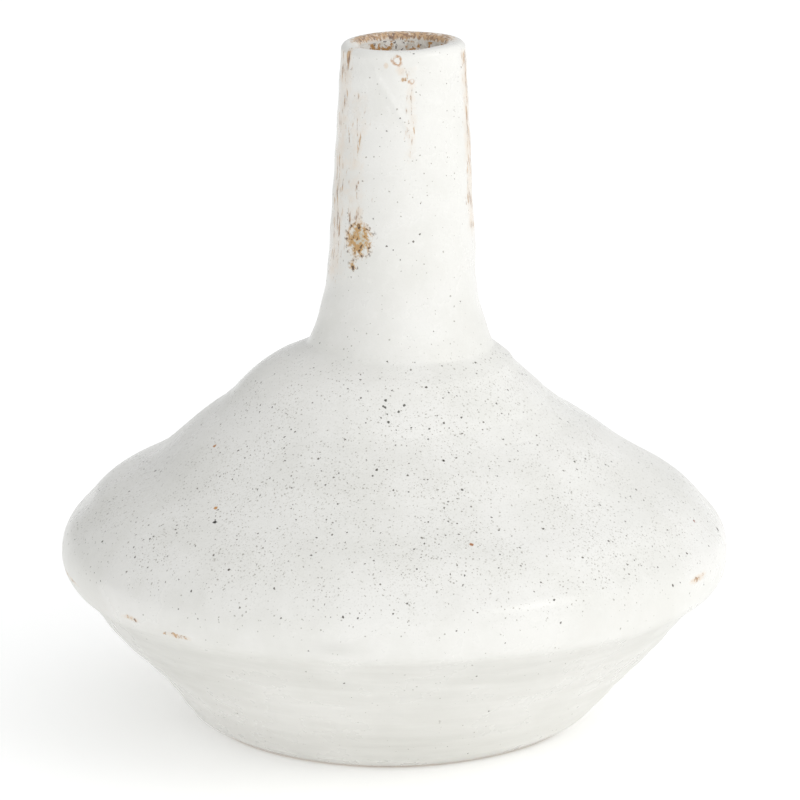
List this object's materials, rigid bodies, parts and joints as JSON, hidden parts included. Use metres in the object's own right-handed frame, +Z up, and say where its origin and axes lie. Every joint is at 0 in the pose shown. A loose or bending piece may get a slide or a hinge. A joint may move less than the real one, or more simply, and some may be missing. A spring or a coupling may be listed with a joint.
{
  "type": "ceramic bud vase",
  "caption": "Small stoneware bud vase with a wide low body, a rounded belly edge and a tall narrow neck, glazed off-white with fine dark specks.",
  "frame": {"origin": "centre of the foot, on the surface the vase stands on", "axes": "+Z up through the mouth, -Y towards the front, +X to the right seen from the front; the neck stands 1.6 mm to the +X side of the body's axis"},
  "size_m": [0.152, 0.152, 0.1565],
  "materials": {
    "clay": "matte",
    "slip": "matte",
    "glaze": "satin",
    "lining": "satin"
  },
  "bodies": {
    "root": {"base_bowl": "clay", "shoulder_dome": "clay", "shoulder_cap": "clay", "neck_tube": "clay", "belly_slip": "slip", "shoulder_slip": "slip", "neck_slip": "slip", "body_glaze": "glaze", "neck_glaze": "glaze", "liner_glaze": "lining"}
  },
  "joints": []
}
